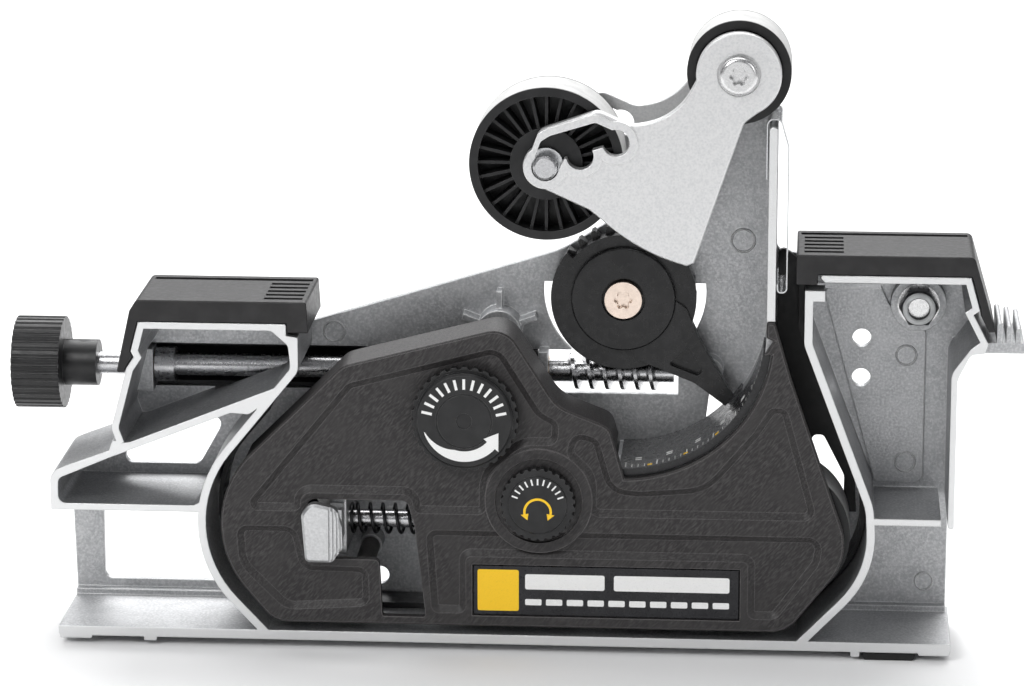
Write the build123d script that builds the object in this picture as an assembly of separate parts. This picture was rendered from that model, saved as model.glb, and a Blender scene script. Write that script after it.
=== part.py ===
"""A belt sharpening head: a die-cast stand with two rest pads and four rollers for a 25 x 762 mm belt.

A worm under the blade gear swings the top arm, and so sets the belt's angle. X runs right, Z up and
Y back. Depths are measured back from the front edges of the casting's walls.
"""

import os
from math import acos, atan2, cos, degrees, hypot, radians, sin, tan

from build123d import *

# --- driving dimensions, millimetres -------------------------------------------------------------
FRONT_Y = -27.35         # the front edges of the casting's walls
WALL_BACK = 45.0         # depth where the walls meet the back plate
PLATE_BACK = 48.0        # depth of the back plate's rear face
WALL = 3.0               # the casting's wall thickness
FLOOR_TOP = 7.0          # top of the foot rail

PIVOT = (42.0, 131.0)    # the gear's axis
AXLE = (85.1, 223.3)     # the swing arm's and the top pulley's axis
ARC_CENTRE = (43.4, 125.0)
ARC_IN = 53.2            # the scale wall's inner radius
NOTCHES = ((14.3, 188.1), (27.1, 192.5), (40.3, 197.6))
IDLER = NOTCHES[0]
TENSION = (-88.4, 47.2)
DRIVE = (102.8, 47.2)
TIGHTEN = (-15.4, 92.6)
TRACKING = (12.1, 60.4)
SIDE_BOLT = (153.4, 129.0)
PIN_R = 2.0
BOLT_HOLES = ((132.3, 114.5), (132.3, 99.0), (-52.6, 16.0))
BOLT_HOLE_R = 3.6
COVER_PINS = ((-5.6, 116.5), (66.0, 34.0), (-55.0, 31.2))

YOKE_X, YOKE_PIN_R = -24.0, 3.0
GUIDE = (-33.0, -15.0)   # the tracking yoke's ends, left and right
ROD_R, ROD_Z = 3.4, TENSION[1]

BELT_FRONT, BELT_BACK = 4.5, 29.5
BELT_MIDDLE = (BELT_FRONT + BELT_BACK) / 2
IDLER_R, PULLEY_R, DRIVE_R = 28.6, 19.2, 26.0

GEAR_TEETH = 28
GEAR_PITCH_R, GEAR_TIP_R, GEAR_ROOT_R = 26.0, 27.5, 24.2
PITCH = radians(360 / GEAR_TEETH) * GEAR_PITCH_R
TOOTH = 2.45             # gear tooth thickness on the pitch circle
FLANK = 0.364            # slope of the tooth flanks, 20 degrees
WORM_PITCH_R, WORM_TIP_R, WORM_ROOT_R = 5.7, 7.0, 4.0
SHAFT_Z = PIVOT[1] - GEAR_PITCH_R - WORM_PITCH_R
SHAFT_DEPTH = 45.0
SHAFT_R = 4.4
ARM_PITCH_R = hypot(AXLE[0] - PIVOT[0], AXLE[1] - PIVOT[1]) - GEAR_PITCH_R

RUN = 0.04               # radial clearance of a shaft in its bore
GAP = 0.3                # clearance between neighbours that move apart


# --- drawing in the X-Z plane --------------------------------------------------------------------
def outline(points):
    """A closed face. A point is (x, z), or (x, z, radius) for a rounded corner."""
    corners = [(p[0], p[1], p[2] if len(p) > 2 else 0.0) for p in points]
    stretches = []
    for i, (x, z, radius) in enumerate(corners):
        before, after = corners[i - 1], corners[(i + 1) % len(corners)]
        here = Vector(x, z)
        to_before = (Vector(before[0], before[1]) - here).normalized()
        to_after = (Vector(after[0], after[1]) - here).normalized()
        half = acos(max(-1.0, min(1.0, to_before.dot(to_after)))) / 2
        if radius <= 0 or half > radians(89.5):
            stretches.append((here,))
            continue
        reach = radius / tan(half)
        middle = (to_before + to_after).normalized() * (radius / sin(half) - radius)
        stretches.append((here + to_before * reach, here + middle, here + to_after * reach))
    edges = []
    for i, stretch in enumerate(stretches):
        if len(stretch) == 3:
            edges.append(ThreePointArc(*stretch))
        following = stretches[(i + 1) % len(stretches)][0]
        if (following - stretch[-1]).length > 1e-4:
            edges.append(Line(stretch[-1], following))
    return make_face(Wire(edges))


def moved_sideways(path, distance):
    """An open path of (x, z, radius) points moved to its left by a distance, with its bends kept round."""
    points = [(p[0], p[1], p[2] if len(p) > 2 else 0.0) for p in path]
    moved = []
    for i, (x, z, radius) in enumerate(points):
        headings = []
        if i > 0:
            headings.append(Vector(x - points[i - 1][0], z - points[i - 1][1]).normalized())
        if i < len(points) - 1:
            headings.append(Vector(points[i + 1][0] - x, points[i + 1][1] - z).normalized())
        normals = [Vector(-h.Y, h.X) for h in headings]
        bisector = (normals[0] + normals[-1]).normalized()
        shift = bisector * (distance / bisector.dot(normals[0]))
        turn = headings[0].X * headings[-1].Y - headings[0].Y * headings[-1].X
        bend = radius - distance if turn > 0 else radius + distance
        moved.append((x + shift.X, z + shift.Y, max(bend, 0.0) if radius > 0 else 0.0))
    return moved


def inset(points, distance):
    """A closed outline's points moved inward by a distance, with its rounded corners kept parallel."""
    corners = [(p[0], p[1], p[2] if len(p) > 2 else 0.0) for p in points]
    count = len(corners)
    area = 0.0
    for i, (x, z, _) in enumerate(corners):
        area += corners[i - 1][0] * z - x * corners[i - 1][1]
    side = 1 if area > 0 else -1
    moved = []
    for i, (x, z, radius) in enumerate(corners):
        before, after = corners[i - 1], corners[(i + 1) % count]
        arriving = Vector(x - before[0], z - before[1]).normalized()
        leaving = Vector(after[0] - x, after[1] - z).normalized()
        normals = [Vector(-h.Y, h.X) * side for h in (arriving, leaving)]
        bisector = (normals[0] + normals[1]).normalized()
        shift = bisector * (distance / bisector.dot(normals[0]))
        turn = (arriving.X * leaving.Y - arriving.Y * leaving.X) * side
        bend = radius - distance if turn > 0 else radius + distance
        moved.append((x + shift.X, z + shift.Y, max(bend, 0.3)))
    return moved


def ribbon(path, thickness):
    """A strip of even thickness along the left of an open path."""
    return outline(list(path) + moved_sideways(path, thickness)[::-1])


def circle(centre, radius):
    return Pos(*centre) * Circle(radius)


def turned(centre, radius, angle):
    """The point at a radius and an angle in degrees from +X about a centre."""
    return (centre[0] + radius * cos(radians(angle)), centre[1] + radius * sin(radians(angle)))


def sector(centre, inner, outer, start, end):
    """Part of a ring, from one angle round to the next."""
    middle = (start + end) / 2
    edges = [
        ThreePointArc(*(turned(centre, outer, a) for a in (start, middle, end))),
        Line(turned(centre, outer, end), turned(centre, inner, end)),
        ThreePointArc(*(turned(centre, inner, a) for a in (end, middle, start))),
        Line(turned(centre, inner, start), turned(centre, outer, start)),
    ]
    return make_face(Wire(edges))


def hexagon(centre, across_flats):
    return Pos(*centre) * RegularPolygon(across_flats / 2, 6, major_radius=False)


# --- solids --------------------------------------------------------------------------------------
def slab(face, front, back):
    """A face made thick from one depth back to another."""
    return extrude(Plane.XZ.offset(-(FRONT_Y + back)) * face, amount=back - front)


def disc(centre, radius, front, back):
    return slab(circle(centre, radius), front, back)


def ring(centre, outer, inner, front, back):
    return slab(circle(centre, outer) - circle(centre, inner), front, back)


def rod_x(radius, x0, x1, z, depth):
    """A round bar along X."""
    return Pos((x0 + x1) / 2, FRONT_Y + depth, z) * Rot(0, 90, 0) * Cylinder(radius, x1 - x0)


def rod_z(radius, x, z0, z1, depth):
    """A round bar along Z."""
    return Pos(x, FRONT_Y + depth, (z0 + z1) / 2) * Cylinder(radius, z1 - z0)


def block(x0, x1, z0, z1, front, back):
    size = (x1 - x0, back - front, z1 - z0)
    return Pos((x0 + x1) / 2, FRONT_Y + (front + back) / 2, (z0 + z1) / 2) * Box(*size)


def front_edges(solid):
    """The edges round a solid's foremost flat face."""
    return solid.faces().filter_by(Axis.Y).sort_by(Axis.Y)[0].edges()


def group(solids):
    """Separate solids that share one node."""
    return Compound(children=[s for shape in solids for s in shape.solids()])


def joined(solids):
    total = solids[0]
    for solid in solids[1:]:
        total = total + solid
    return total


def less(solid, cuts):
    for cut in cuts:
        solid = solid - cut
    return solid


def ribbed_outline(centre, radius, ribs, depth):
    """A round face with evenly spaced half-round grooves in its rim."""
    face = circle(centre, radius)
    groove = radians(360 / ribs) * radius * 0.27
    for i in range(ribs):
        face = face - circle(turned(centre, radius + groove - depth, 360 * i / ribs), groove)
    return face


parts = {}

# --- the main casting ----------------------------------------------------------------------------
LEFT_WALL = [(-78.3, 121.5), (-78.3, 108.4, 6), (-128.1, 46.9, 43), (-90.8, 7.0)]
RIGHT_WALL = [(109.4, 7.0), (136.0, 34.6, 36), (134.4, 59.2, 20), (110.5, 122.0, 8), (110.5, 142.7)]
PLATE_EDGE = [
    (-171.3, 3.3), (-172.6, 50.0), (-173.1, 66.5, 5), (-147.5, 77.8, 2), (-149.6, 84.6, 2), (-143.1, 108.7),
    (-140.2, 113.1), (-141.3, 115.3), (-138.3, 126.6), (-86.0, 126.6), (-78.3, 117.2), (18.0, 146.8, 30),
    (44.0, 163.0, 20), (62.0, 190.0, 30), (72.5, 222.0, 6), (85.1, 236.5, 10), (98.2, 224.0, 8),
    (99.6, 203.0, 12), (99.6, 148.0, 3), (110.5, 146.6), (118.0, 147.0), (171.0, 147.0), (173.5, 136.0),
    (176.5, 123.5), (166.5, 115.0), (166.3, 3.3),
]
LOWER_WINDOW = [(-160.7, 12.4, 3), (-160.7, 53.0), (-112.0, 53.0), (-113.5, 40.0, 20), (-100.0, 12.4)]
UPPER_WINDOW = [
    (-153.2, 59.5, 3), (-122.5, 59.5, 3), (-114.6, 73.6, 3), (-112.6, 79.9, 2.5), (-150.0, 66.0, 2),
]
SLOT = (-144.9, 62.6, 90.6, 107.6)   # the worm shaft's channel: its ends, then its bottom and top


def back_plate():
    plate = slab(outline(PLATE_EDGE), WALL_BACK, PLATE_BACK)
    half_moon = circle(PIVOT, 31.0) & outline([(0, 134.4), (90, 134.4), (90, 90), (0, 90)])
    windows = [
        outline(LOWER_WINDOW),
        outline(UPPER_WINDOW),
        half_moon - circle(PIVOT, 10.5),
        outline([(112.6, 77.4, 2), (119.4, 77.4, 2), (127.6, 60.5, 6), (127.4, 47.0, 2), (118.0, 47.0, 2)]),
        outline([(74.7, 93.0, 1.5), (85.6, 85.0, 1), (78.6, 77.4, 1), (73.0, 78.5, 1)]),
    ]
    channel = block(*SLOT, SHAFT_DEPTH - 6, PLATE_BACK + 1)
    cuts = [slab(face, WALL_BACK - 1, PLATE_BACK + 1) for face in windows]
    return less(plate, cuts + [channel])


def left_side():
    """The left table's slab, the slanted bands that carry it, the diagonal strut and the shelf cell."""
    outer_band = [(-138.3, 126.6), (-141.3, 115.3), (-140.2, 113.1), (-143.1, 108.7), (-149.3, 85.4, 6),
                  (-147.0, 79.0)]
    bands = [
        outline([(-138.3, 126.6, 1), (-82.7, 126.6, 0.6), (-82.7, 122.2), (-78.3, 121.5), (-78.3, 112.0),
                 (-81.3, 112.0), (-82.0, 118.5, 3), (-88.2, 124.1, 3), (-138.0, 124.1)]),
        ribbon(outer_band[::-1], -2.6),
        outline([(-147.2, 79.2), (-142.4, 79.9), (-87.1, 102.0), (-86.6, 99.6), (-97.0, 91.6, 3),
                 (-104.0, 92.1), (-149.0, 74.3)]),
        outline([(-149.0, 80.5), (-150.4, 76.5), (-166.9, 70.3, 8), (-173.1, 67.6, 5), (-173.1, 53.1, 0.6),
                 (-114.8, 53.1), (-115.2, 57.5), (-118.6, 55.6, 1), (-170.2, 55.6, 3), (-170.2, 65.3, 3),
                 (-144.9, 76.1), (-146.0, 80.0)]),
    ]
    return [slab(band, 0, PLATE_BACK) for band in bands]


def right_side():
    """The right table's slab, its bent outer band, the thumb tab and the shelf."""
    outer_band = [(171.4, 148.6), (174.9, 136.2), (172.6, 134.6), (178.4, 123.4)]
    table = outline([(115.3, 148.6, 0.8), (171.6, 148.6, 1.2), (171.0, 146.0), (117.9, 146.0)])
    skirt = outline([(175.3, 124.0), (178.4, 124.0), (177.1, 119.9), (172.0, 119.3, 3), (167.3, 109.5, 6),
                     (167.3, 52.3, 0.8), (165.1, 52.3, 0.8), (165.1, 112.0, 7), (172.0, 121.5, 2)])
    tab = outline([(175.5, 123.6), (191.6, 123.6, 1), (192.4, 119.7, 1), (177.0, 119.7)])
    solids = [slab(table, 0, PLATE_BACK), slab(ribbon(outer_band, -2.4), 0, PLATE_BACK),
              slab(skirt, 0, PLATE_BACK), slab(tab, 2, 34)]
    for i in range(3):
        rib_x = 181.5 + 3.5 * i
        rib = outline([(rib_x, 123.0), (rib_x, 131.0 - 0.9 * i, 0.9), (rib_x + 1.9, 131.0 - 0.9 * i, 0.9),
                       (rib_x + 1.9, 123.0)])
        solids.append(slab(rib, 2, 34))
    solids.append(block(137.5, 162.5, 53.1, 55.6, 0, PLATE_BACK))
    solids.append(block(110.5, 117.9, 138.7, 142.7, 0, 10))
    solids.append(block(114.0, 139.0, 136.8, 139.0, 30, WALL_BACK))
    solids.append(slab(outline([(117.5, 133.5, 2), (138.5, 136.0, 3), (143.0, 126.5, 8), (156.5, 118.0, 3),
                                (156.5, 58.0, 3), (138.4, 57.6, 2)]), 43.6, WALL_BACK))
    return solids


def rail_and_bosses():
    rail = outline([(-171.3, 7.0), (-171.3, 3.3, 1), (167.3, 3.3, 1), (167.3, 7.0, 0.5)])
    solids = [slab(rail, 0, PLATE_BACK)]
    pads = ((-170.8, -158.6, 2.2), (-138.6, -133.7, 1.8), (129.8, 133.2, 1.4), (155.2, 166.8, 2.4))
    for x0, x1, low in pads:
        pad = outline([(x0, 4.0), (x0, low, 0.6), (x1, low, 0.6), (x1, 4.0)])
        solids.append(slab(pad, 0, PLATE_BACK))
    solids.append(block(-171.3, -103.0, FLOOR_TOP, 9.2, 41.0, WALL_BACK))
    solids.append(block(121.0, 166.3, FLOOR_TOP, 9.2, 41.0, WALL_BACK))
    return solids


def scale_wall():
    """The upright wall behind the belt's working run, and the arc it turns into under the gear."""
    upright = outline([(96.6, 203.9, 1.3), (99.6, 203.9, 1.3), (99.6, 130.8), (96.6, 130.8)])
    recessed = slab(outline([(96.6, 131.0), (99.6, 131.0), (99.6, 124.6), (96.6, 124.6)]), 4.2, WALL_BACK)
    arc = slab(sector(ARC_CENTRE, ARC_IN, ARC_IN + WALL, -93.0, 0.3), 4.2, WALL_BACK)
    return [slab(upright, 0, WALL_BACK), recessed, arc]


def bosses():
    solids = [
        disc(AXLE, 13.0, 41.4, PLATE_BACK),
        disc(DRIVE, 14.5, 33.5, PLATE_BACK),
        disc((74.3, 101.6), 5.5, 37.6, WALL_BACK),
        disc(SIDE_BOLT, 10.5, 39.4, WALL_BACK),
        disc(TIGHTEN, 8.0, 20.0, 38.9),
        block(TIGHTEN[0] - 4, TIGHTEN[0] + 4, 76.0, 89.8, 22.0, WALL_BACK),
        disc(COVER_PINS[0], 8.5, 34.0, WALL_BACK),
    ]
    solids += [disc(centre, 4.4, 34.0, WALL_BACK) for centre in COVER_PINS[1:]]
    for angle in (20, 90, 160):
        tip = turned(COVER_PINS[0], 15.0, angle)
        side = turned((0, 0), 1.1, angle + 90)
        root = COVER_PINS[0]
        web = outline([(root[0] + side[0], root[1] + side[1]), (tip[0] + side[0], tip[1] + side[1]),
                       (tip[0] - side[0], tip[1] - side[1]), (root[0] - side[0], root[1] - side[1])])
        solids.append(slab(web, 38.0, WALL_BACK))
    return solids


def yoke_lugs():
    """Two cast lugs that hold the tracking yoke's upright pivot pin."""
    left, right = YOKE_X - 7.0, YOKE_X + 7.0
    return [block(left, right, low, low + 6.0, 10.0, WALL_BACK) for low in (60.6, 27.4)]


def main_frame():
    left_wall = slab(ribbon(LEFT_WALL, -WALL), 0, PLATE_BACK)
    right_wall = slab(ribbon(RIGHT_WALL, -WALL), 0, PLATE_BACK)
    frame = joined([back_plate(), left_wall, right_wall] + left_side() + right_side() + rail_and_bosses()
                   + scale_wall() + bosses() + yoke_lugs())
    end_bush = block(-147.6, -139.0, 90.0, 106.6, 38.0, PLATE_BACK)
    inner_bush = block(9.4, 13.0, 89.0, 108.4, 37.0, PLATE_BACK)
    channel = block(SLOT[0], 9.4, SLOT[2], SLOT[3], SHAFT_DEPTH - 6, PLATE_BACK + 1)
    frame = less(frame, [channel]) + end_bush + inner_bush
    cuts = [
        rod_x(6.0, -152.0, -138.0, SHAFT_Z, SHAFT_DEPTH),
        rod_x(6.0, 9.0, 13.4, SHAFT_Z, SHAFT_DEPTH),
        disc(AXLE, 4.0, 30.0, PLATE_BACK + 1),
        disc(PIVOT, 4.0, 30.0, PLATE_BACK + 1),
        disc(SIDE_BOLT, 4.1, 30.0, PLATE_BACK + 1),
        disc(DRIVE, 11.0, 33.0, PLATE_BACK + 1),
        disc(TIGHTEN, 4.1, 19.0, 37.0),
        rod_z(YOKE_PIN_R, YOKE_X, 26.0, 68.0, BELT_MIDDLE),
    ]
    cuts += [disc(centre, PIN_R, 30.0, 43.0) for centre in COVER_PINS]
    cuts += [disc(centre, BOLT_HOLE_R, 40.0, PLATE_BACK + 1) for centre in BOLT_HOLES]
    return less(frame, cuts)


parts["main_frame"] = main_frame()

# --- feet and rest pads --------------------------------------------------------------------------
def foot(x0, x1, front):
    return slab(outline([(x0, 3.3, 1.2), (x0, 0.0, 1.4), (x1, 0.0, 1.4), (x1, 3.3, 1.2)]), front, 44)


parts["left_foot"] = foot(-157.5, -139.6, 12)
parts["right_foot"] = foot(134.3, 154.0, 1)


def pad_slots(x_left, top):
    """Five short grooves across the top of a rest pad."""
    depths = [4.5 + 6.0 * i for i in range(5)]
    return [block(x_left, x_left + 14.5, top - 1.2, top + 1, depth, depth + 3.0) for depth in depths]


def left_table_pad():
    shape = [(-141.6, 130.8, 1), (-138.9, 135.1, 2.5), (-75.0, 135.1, 1), (-74.3, 123.3, 0.5),
             (-82.3, 123.3, 0.5), (-82.5, 126.8, 0.5), (-138.5, 126.8, 0.6), (-141.6, 115.3),
             (-140.6, 113.2), (-143.4, 108.9), (-143.9, 107.0, 0.5), (-146.9, 107.0, 0.6)]
    pad = slab(outline(shape), 0, 42)
    pad = chamfer(front_edges(pad), 0.4)
    strip = block(-137.0, -76.5, 133.9, 136, 35.0, 38.5)
    return less(pad, [strip] + pad_slots(-91.5, 135.1))


def right_table_pad():
    shape = [(107.2, 156.3, 1), (172.6, 156.3, 2.5), (180.9, 128.0, 0.5), (178.4, 128.0, 0.5),
             (175.2, 134.4), (175.3, 136.3), (171.8, 148.8, 0.8), (115.1, 148.8, 0.6),
             (115.1, 144.9, 0.5), (107.2, 144.9, 0.6)]
    pad = slab(outline(shape), 0, 42)
    pad = chamfer(front_edges(pad), 0.4)
    strip = block(108.7, 171.0, 155.1, 157.5, 35.0, 38.5)
    return less(pad, [strip] + pad_slots(110.0, 156.3))


parts["left_table_pad"] = left_table_pad()
parts["right_table_pad"] = right_table_pad()

# --- the black belt cover and what sits on it ------------------------------------------------------
COVER_FRONT, COVER_BACK = -1.0, 2.5
PANEL_FLOOR, PANEL_SLOPE = 0.8, 2.6      # depth of a sunken panel's floor, and how far its walls slope in
LABEL = (-12.6, 87.6, 15.2, 34.6)
COVER_ARC_R = ARC_IN + 2.4
COVER_TOP = [(-98.9, 74.2), (-61.5, 111.2, 8), (-0.4, 127.1, 10), (18.8, 97.0, 15), (38.5, 89.2, 6),
             (40.9, 81.0)]
COVER_LEFT = [(44.2, 69.5), (38.5, 89.2, 6), (18.8, 97.0, 15), (-0.4, 127.1, 10), (-61.5, 111.2, 8),
              (-122.1, 51.3, 39), (-88.4, 10.6, 12)]
COVER_RIGHT = [(105.6, 10.6, 12), (129.4, 41.0, 22), (106.0, 108.7, 4), (99.6, 130.4, 1.3),
               (96.5, 130.4, 1.3), (96.5, 124.6, 0.8), (99.3, 123.4), (96.0, 118.0)]


def cover_outline():
    corner = COVER_LEFT[0]
    below_chord = outline([corner, COVER_RIGHT[-1], (110.0, 118.0), (110.0, 60.0), (corner[0], 60.0)])
    return outline(COVER_LEFT + COVER_RIGHT) - (circle(ARC_CENTRE, COVER_ARC_R) & below_chord)


def cover_cells():
    """The sunken panels in the cover's face, by their outlines at the face."""
    upper = [(-100.3, 54.5, 3), (-59.8, 104.6, 6), (-2.8, 119.6, 7), (13.0, 94.4, 9), (19.6, 91.2, 4),
             (19.2, 81.8, 4), (6.0, 82.0, 12), (-7.8, 70.0, 14), (-7.8, 54.5, 3), (-35.0, 54.5, 3),
             (-35.6, 61.8, 4), (-77.8, 61.8, 4), (-77.8, 54.5, 3)]
    right = [(31.0, 54.5, 4), (116.6, 54.5, 4), (104.6, 98.0, 4), (98.4, 98.0, 3), (92.0, 88.0, 8),
             (74.0, 66.8, 16), (50.0, 64.8, 6), (40.0, 65.8, 7), (34.4, 85.0, 5), (24.6, 87.6, 5),
             (22.2, 78.5, 4), (31.0, 70.0, 10)]
    lower_left = [(-102.4, 48.6, 4), (-79.6, 48.6, 6), (-76.2, 33.4, 4), (-52.4, 33.0, 4), (-52.0, 17.6, 4),
                  (-84.0, 15.6, 9), (-101.4, 33.0, 12)]
    round_label = [(-30.6, 48.2, 4), (118.8, 48.2, 5), (117.6, 37.6, 9), (101.6, 15.6, 5), (90.8, 15.6, 3),
                   (90.8, 38.0, 2), (-15.4, 38.0, 2), (-15.4, 15.6, 3), (-28.4, 15.6, 3)]
    return [upper, right, lower_left, round_label]


def sunken(cell):
    """What is cut away for a panel whose walls slope down to its floor."""
    run = PANEL_SLOPE / (PANEL_FLOOR - COVER_FRONT)
    above = 0.2
    rim = Plane.XZ.offset(-(FRONT_Y + COVER_FRONT - above)) * outline(inset(cell, -run * above))
    floor = Plane.XZ.offset(-(FRONT_Y + PANEL_FLOOR)) * outline(inset(cell, PANEL_SLOPE))
    return loft([rim, floor], ruled=True)


def front_cover():
    plate = slab(cover_outline(), COVER_FRONT, COVER_BACK)
    plate = chamfer(front_edges(plate), 0.7)
    skirt = slab(ribbon(COVER_TOP, -2.4), 2.5, 22.0)
    ears = slab(circle(TIGHTEN, 21.6) + circle(TRACKING, 18.6), 0.2, 2.5)
    cover = joined([plate, skirt, ears])
    window = slab(outline([(-75.4, 59.4, 3), (-37.5, 59.4, 3), (-34.8, 50.0), (-30.6, 13.8, 1),
                           (-47.2, 13.8, 1), (-48.3, 36.0, 2), (-75.4, 36.0, 4)]), -2, 3)
    cells = [sunken(cell) for cell in cover_cells()]
    label = block(LABEL[0] - 0.4, LABEL[1] + 0.4, LABEL[2] - 0.4, LABEL[3] + 0.4, -2, 0.6)
    cover = less(cover, cells + [label, window])
    cover = cover + ring(TRACKING, 20.2, 16.4, -1.6, 2.5)
    cover = joined([cover] + [disc(centre, 3.6, 2.5, 33.6) for centre in COVER_PINS])
    bores = [disc(centre, PIN_R, 24.0, 34.0) for centre in COVER_PINS]
    bores += [disc(TIGHTEN, 4.3, -3, 4), disc(TRACKING, 3.2, -3, 4)]
    return less(cover, bores)


parts["front_cover"] = front_cover()
parts["label_plate"] = chamfer(front_edges(block(*LABEL, -0.4, 0.6)), 0.25)
parts["cover_pins"] = group([disc(centre, PIN_R, 24.5, 42.5) for centre in COVER_PINS])


def belt_shroud():
    """The black liner behind the belt, along the inside of the walls."""
    path = [(-94.6, 87.0), (-128.1, 46.9, 43), (-90.8, 7.0, 3), (109.4, 7.0, 3), (136.0, 34.6, 36),
            (134.4, 59.2, 20), (110.5, 122.0, 8), (110.5, 144.0)]
    inner = moved_sideways(path, GAP)
    rim = slab(ribbon(inner, 2.0), 31.0, WALL_BACK - 0.1)
    panel = outline([(100.2, 151.0, 2), (100.2, 122.0), (97.0, 105.0), (84.0, 82.0), (84.0, 66.0),
                     (112.0, 66.0), (112.0, 46.0), (131.4, 46.0), (130.0, 66.0), (109.6, 122.0),
                     (109.6, 144.0, 3)])
    window = outline([(113.6, 76.4, 2), (118.4, 76.4, 2), (126.6, 60.5, 6), (126.4, 48.0, 2),
                      (119.0, 48.0, 2)])
    panel = panel - circle(ARC_CENTRE, ARC_IN + WALL + GAP) - window - circle(DRIVE, 15.0)
    shroud = rim + slab(panel, 42.4, WALL_BACK - 0.1)
    return less(shroud, [disc(centre, 6.4, 30.0, 46.0) for centre in COVER_PINS])


parts["belt_shroud"] = belt_shroud()

SPRING_PATH = [(96.0, 184.0), (96.0, 206.2, 2.0), (100.5, 206.2, 2.0), (103.4, 196.0, 4),
               (103.4, 141.6, 1.5), (100.4, 141.6, 1.2), (100.4, 144.6)]
parts["platen_spring"] = slab(ribbon(SPRING_PATH, 0.5), 2.0, 30.0)


def angle_scale():
    strip = slab(sector(ARC_CENTRE, ARC_IN - 0.8, ARC_IN - 0.02, -91.5, -8.0), 2.7, 29.0)
    liner = slab(sector(ARC_CENTRE, ARC_IN - 0.8, ARC_IN - 0.02, -91.5, -34.0), 29.0, 44.6)
    lip = slab(sector(ARC_CENTRE, ARC_IN - 0.8, ARC_IN + 2.1, -91.5, -8.0), 2.7, 4.1)
    return joined([strip, liner, lip])


parts["angle_scale"] = angle_scale()


CHANNEL_SCREWS = (-120.0, -20.0)


def channel_cover():
    """The half-round trough that closes the shaft's channel from behind."""
    left, right = -149.6, 8.6
    axis = (SHAFT_Z, SHAFT_DEPTH)
    outer, inner = 9.4, 7.8
    shell = rod_x(outer, left, right, *axis) - rod_x(inner, left + 1.4, right + 1, *axis)
    before_plate = block(left - 1, right + 2, 80.0, 120.0, 30.0, PLATE_BACK)
    shell = less(shell, [rod_x(5.0, left - 1, left + 2, *axis), before_plate])
    flange = block(left, right, SHAFT_Z - 12.5, SHAFT_Z + 12.5, PLATE_BACK, PLATE_BACK + 1.6)
    flange = less(flange, [block(left + 1.4, right + 1, SHAFT_Z - 7.2, SHAFT_Z + 7.2, 46.0, 51.0),
                           rod_x(5.0, left - 1, left + 2, *axis)])
    holes = [disc((x, SHAFT_Z + side * 11.0), 1.1, 47.0, 51.0) for x in CHANNEL_SCREWS for side in (-1, 1)]
    return less(shell + flange, holes)


parts["shaft_channel_cover"] = channel_cover()
parts["channel_screws"] = group([
    disc((x, SHAFT_Z + side * 11.0), 2.2, PLATE_BACK + 1.6, PLATE_BACK + 3.0)
    + disc((x, SHAFT_Z + side * 11.0), 1.1, PLATE_BACK, PLATE_BACK + 1.6)
    for x in CHANNEL_SCREWS for side in (-1, 1)])

# --- the angle drive: knob, worm shaft, gear --------------------------------------------------------
parts["shaft_bushes"] = group([
    rod_x(6.0, x0, x1, SHAFT_Z, SHAFT_DEPTH) - rod_x(SHAFT_R + RUN, x0 - 1, x1 + 1, SHAFT_Z, SHAFT_DEPTH)
    for x0, x1 in ((-148.0, -139.0), (9.4, 13.0))])

KNOB_R, KNOB_X = 17.7, (-192.4, -174.0)
HUB_END = -161.0


def angle_knob():
    side = Plane.YZ.offset(KNOB_X[0])
    face = circle((0, 0), KNOB_R)
    ribs = 36
    for i in range(ribs):
        face = face - circle(turned((0, 0), KNOB_R + 0.35, 360 * i / ribs), 0.9)
    body = extrude(side * face, amount=KNOB_X[1] - KNOB_X[0])
    knob = Pos(0, FRONT_Y + SHAFT_DEPTH, SHAFT_Z) * body
    knob = knob + rod_x(8.9, KNOB_X[1], HUB_END, SHAFT_Z, SHAFT_DEPTH)
    knob = less(knob, [
        rod_x(SHAFT_R, -183.0, HUB_END + 1, SHAFT_Z, SHAFT_DEPTH),
        rod_x(13.0, KNOB_X[0] - 1, KNOB_X[0] + 1.6, SHAFT_Z, SHAFT_DEPTH),
        Pos(-166.6, FRONT_Y + SHAFT_DEPTH, SHAFT_Z + 5.0) * Cylinder(2.0, 10.0),
    ])
    return knob


def worm_shaft():
    """A plain shaft with one screw thread cut on it under the gear."""
    worm_x = (22.0, 61.0)
    shaft = rod_x(SHAFT_R, -182.9, worm_x[0] + 0.4, SHAFT_Z, SHAFT_DEPTH)
    core = rod_x(WORM_ROOT_R, worm_x[0], worm_x[1], SHAFT_Z, SHAFT_DEPTH)
    start = PIVOT[0] - PITCH / 2 - 3 * PITCH
    turns = 6.0
    pitch_half, rise = 1.15, WORM_TIP_R - WORM_ROOT_R + 0.3
    root_half = pitch_half + (WORM_PITCH_R - WORM_ROOT_R) * FLANK
    tip_half = pitch_half - (WORM_TIP_R - WORM_PITCH_R) * FLANK
    spine = Helix(pitch=PITCH, height=PITCH * turns, radius=WORM_ROOT_R - 0.3)
    section = Plane(origin=spine @ 0, x_dir=(1, 0, 0), z_dir=(0, -1, 0)) * make_face(Polyline(
        (0, -root_half), (rise, -tip_half), (rise, tip_half), (0, root_half), close=True))
    thread = sweep(section, path=spine, is_frenet=True)
    thread = Rot(0, 90, 0) * Rot(0, 0, 180) * thread
    thread = Pos(start, FRONT_Y + SHAFT_DEPTH, SHAFT_Z) * thread
    return joined([shaft, core, thread])


parts["angle_knob"] = angle_knob()
parts["worm_shaft"] = worm_shaft()
parts["knob_set_screw"] = Pos(-166.6, FRONT_Y + SHAFT_DEPTH, SHAFT_Z + 6.6) * Cylinder(2.0, 4.2)
parts["shaft_collar"] = (rod_x(6.8, -138.6, -131.0, SHAFT_Z, SHAFT_DEPTH)
                         - rod_x(SHAFT_R, -139.0, -130.0, SHAFT_Z, SHAFT_DEPTH))


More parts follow.
